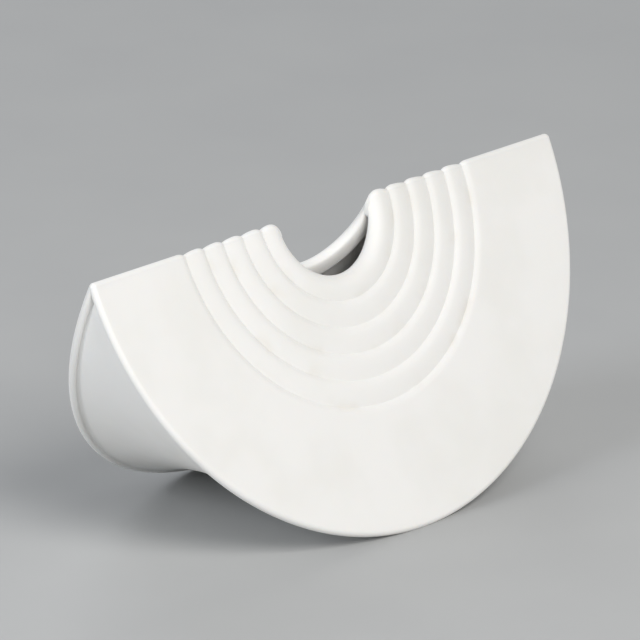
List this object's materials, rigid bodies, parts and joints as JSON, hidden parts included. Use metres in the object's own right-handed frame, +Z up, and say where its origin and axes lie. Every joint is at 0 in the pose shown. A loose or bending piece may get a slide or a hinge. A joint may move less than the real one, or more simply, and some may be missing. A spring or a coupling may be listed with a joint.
{
  "type": "vase",
  "caption": "Tent-shaped white bisque porcelain vase: two half-disc leaves lean together at a ridge, with a notch mouth ringed by terraces and a drawn-in waist.",
  "frame": {"origin": "centre of the footprint, on the surface that the two rims stand on", "axes": "+X along the ridge, +Y to the rear leaf, +Z up"},
  "size_m": [0.23, 0.1004, 0.1055],
  "materials": {
    "bisque": "matte unglazed"
  },
  "bodies": {
    "root": {"front_leaf": "bisque", "rear_leaf": "bisque", "ridge_left": "bisque", "ridge_right": "bisque", "mouth_collar": "bisque", "waist_left": "bisque", "waist_right": "bisque"}
  },
  "joints": []
}
